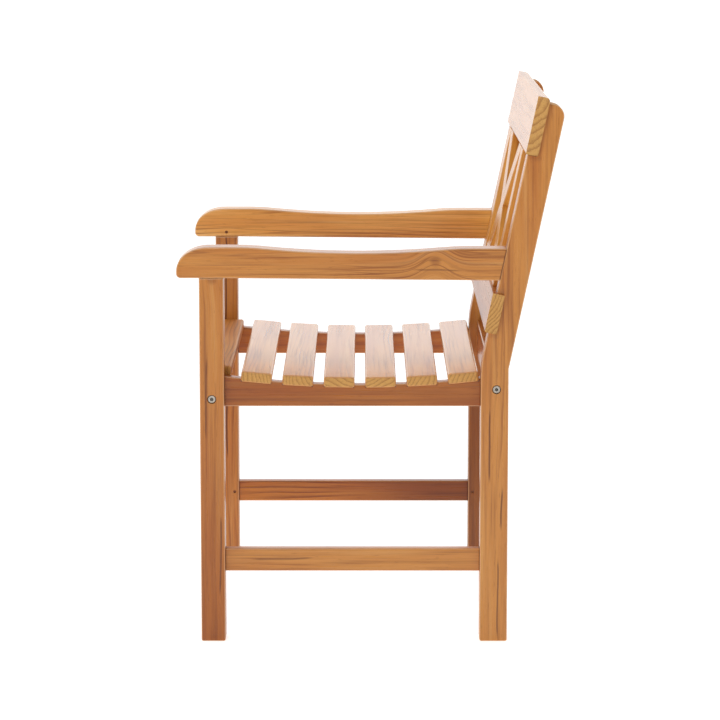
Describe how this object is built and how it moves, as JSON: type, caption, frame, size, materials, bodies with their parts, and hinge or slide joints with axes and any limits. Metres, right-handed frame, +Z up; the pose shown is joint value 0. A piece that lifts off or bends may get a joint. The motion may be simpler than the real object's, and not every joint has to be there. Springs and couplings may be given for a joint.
{
  "type": "garden bench",
  "caption": "Compact slatted teak garden bench with dished arms, raked back legs and a cross-braced back panel.",
  "frame": {"origin": "on the ground, under the middle of the bench: the centre of the bounding box's bottom face", "axes": "+Z is up; the sitter faces -Y; +X is towards the sitter's left hand"},
  "size_m": [0.636, 0.623, 0.8939],
  "materials": {
    "teak": "sanded, unfinished",
    "dowel_wood": "end grain",
    "steel": "satin"
  },
  "bodies": {
    "root": {"front_leg_left": "teak", "back_leg_left": "teak", "arm_left": "teak", "side_rail_left": "teak", "side_stretcher_left": "teak", "back_stile_left": "teak", "front_leg_right": "teak", "back_leg_right": "teak", "arm_right": "teak", "side_rail_right": "teak", "side_stretcher_right": "teak", "back_stile_right": "teak", "seat_slat_1": "teak", "seat_slat_2": "teak", "seat_slat_3": "teak", "seat_slat_4": "teak", "seat_slat_5": "teak", "seat_slat_6": "teak", "seat_slat_7": "teak", "front_rail": "teak", "rear_rail": "teak", "top_back_board": "teak", "lower_back_board": "teak", "cross_brace_front": "teak", "cross_brace_rear": "teak", "rail_dowels": "dowel_wood", "joint_pins": "dowel_wood", "screw_plugs": "dowel_wood", "leg_bolts": "steel", "barrel_nuts": "steel", "seat_screws": "steel", "front_slat_screws": "steel", "board_screws": "steel"}
  },
  "joints": []
}
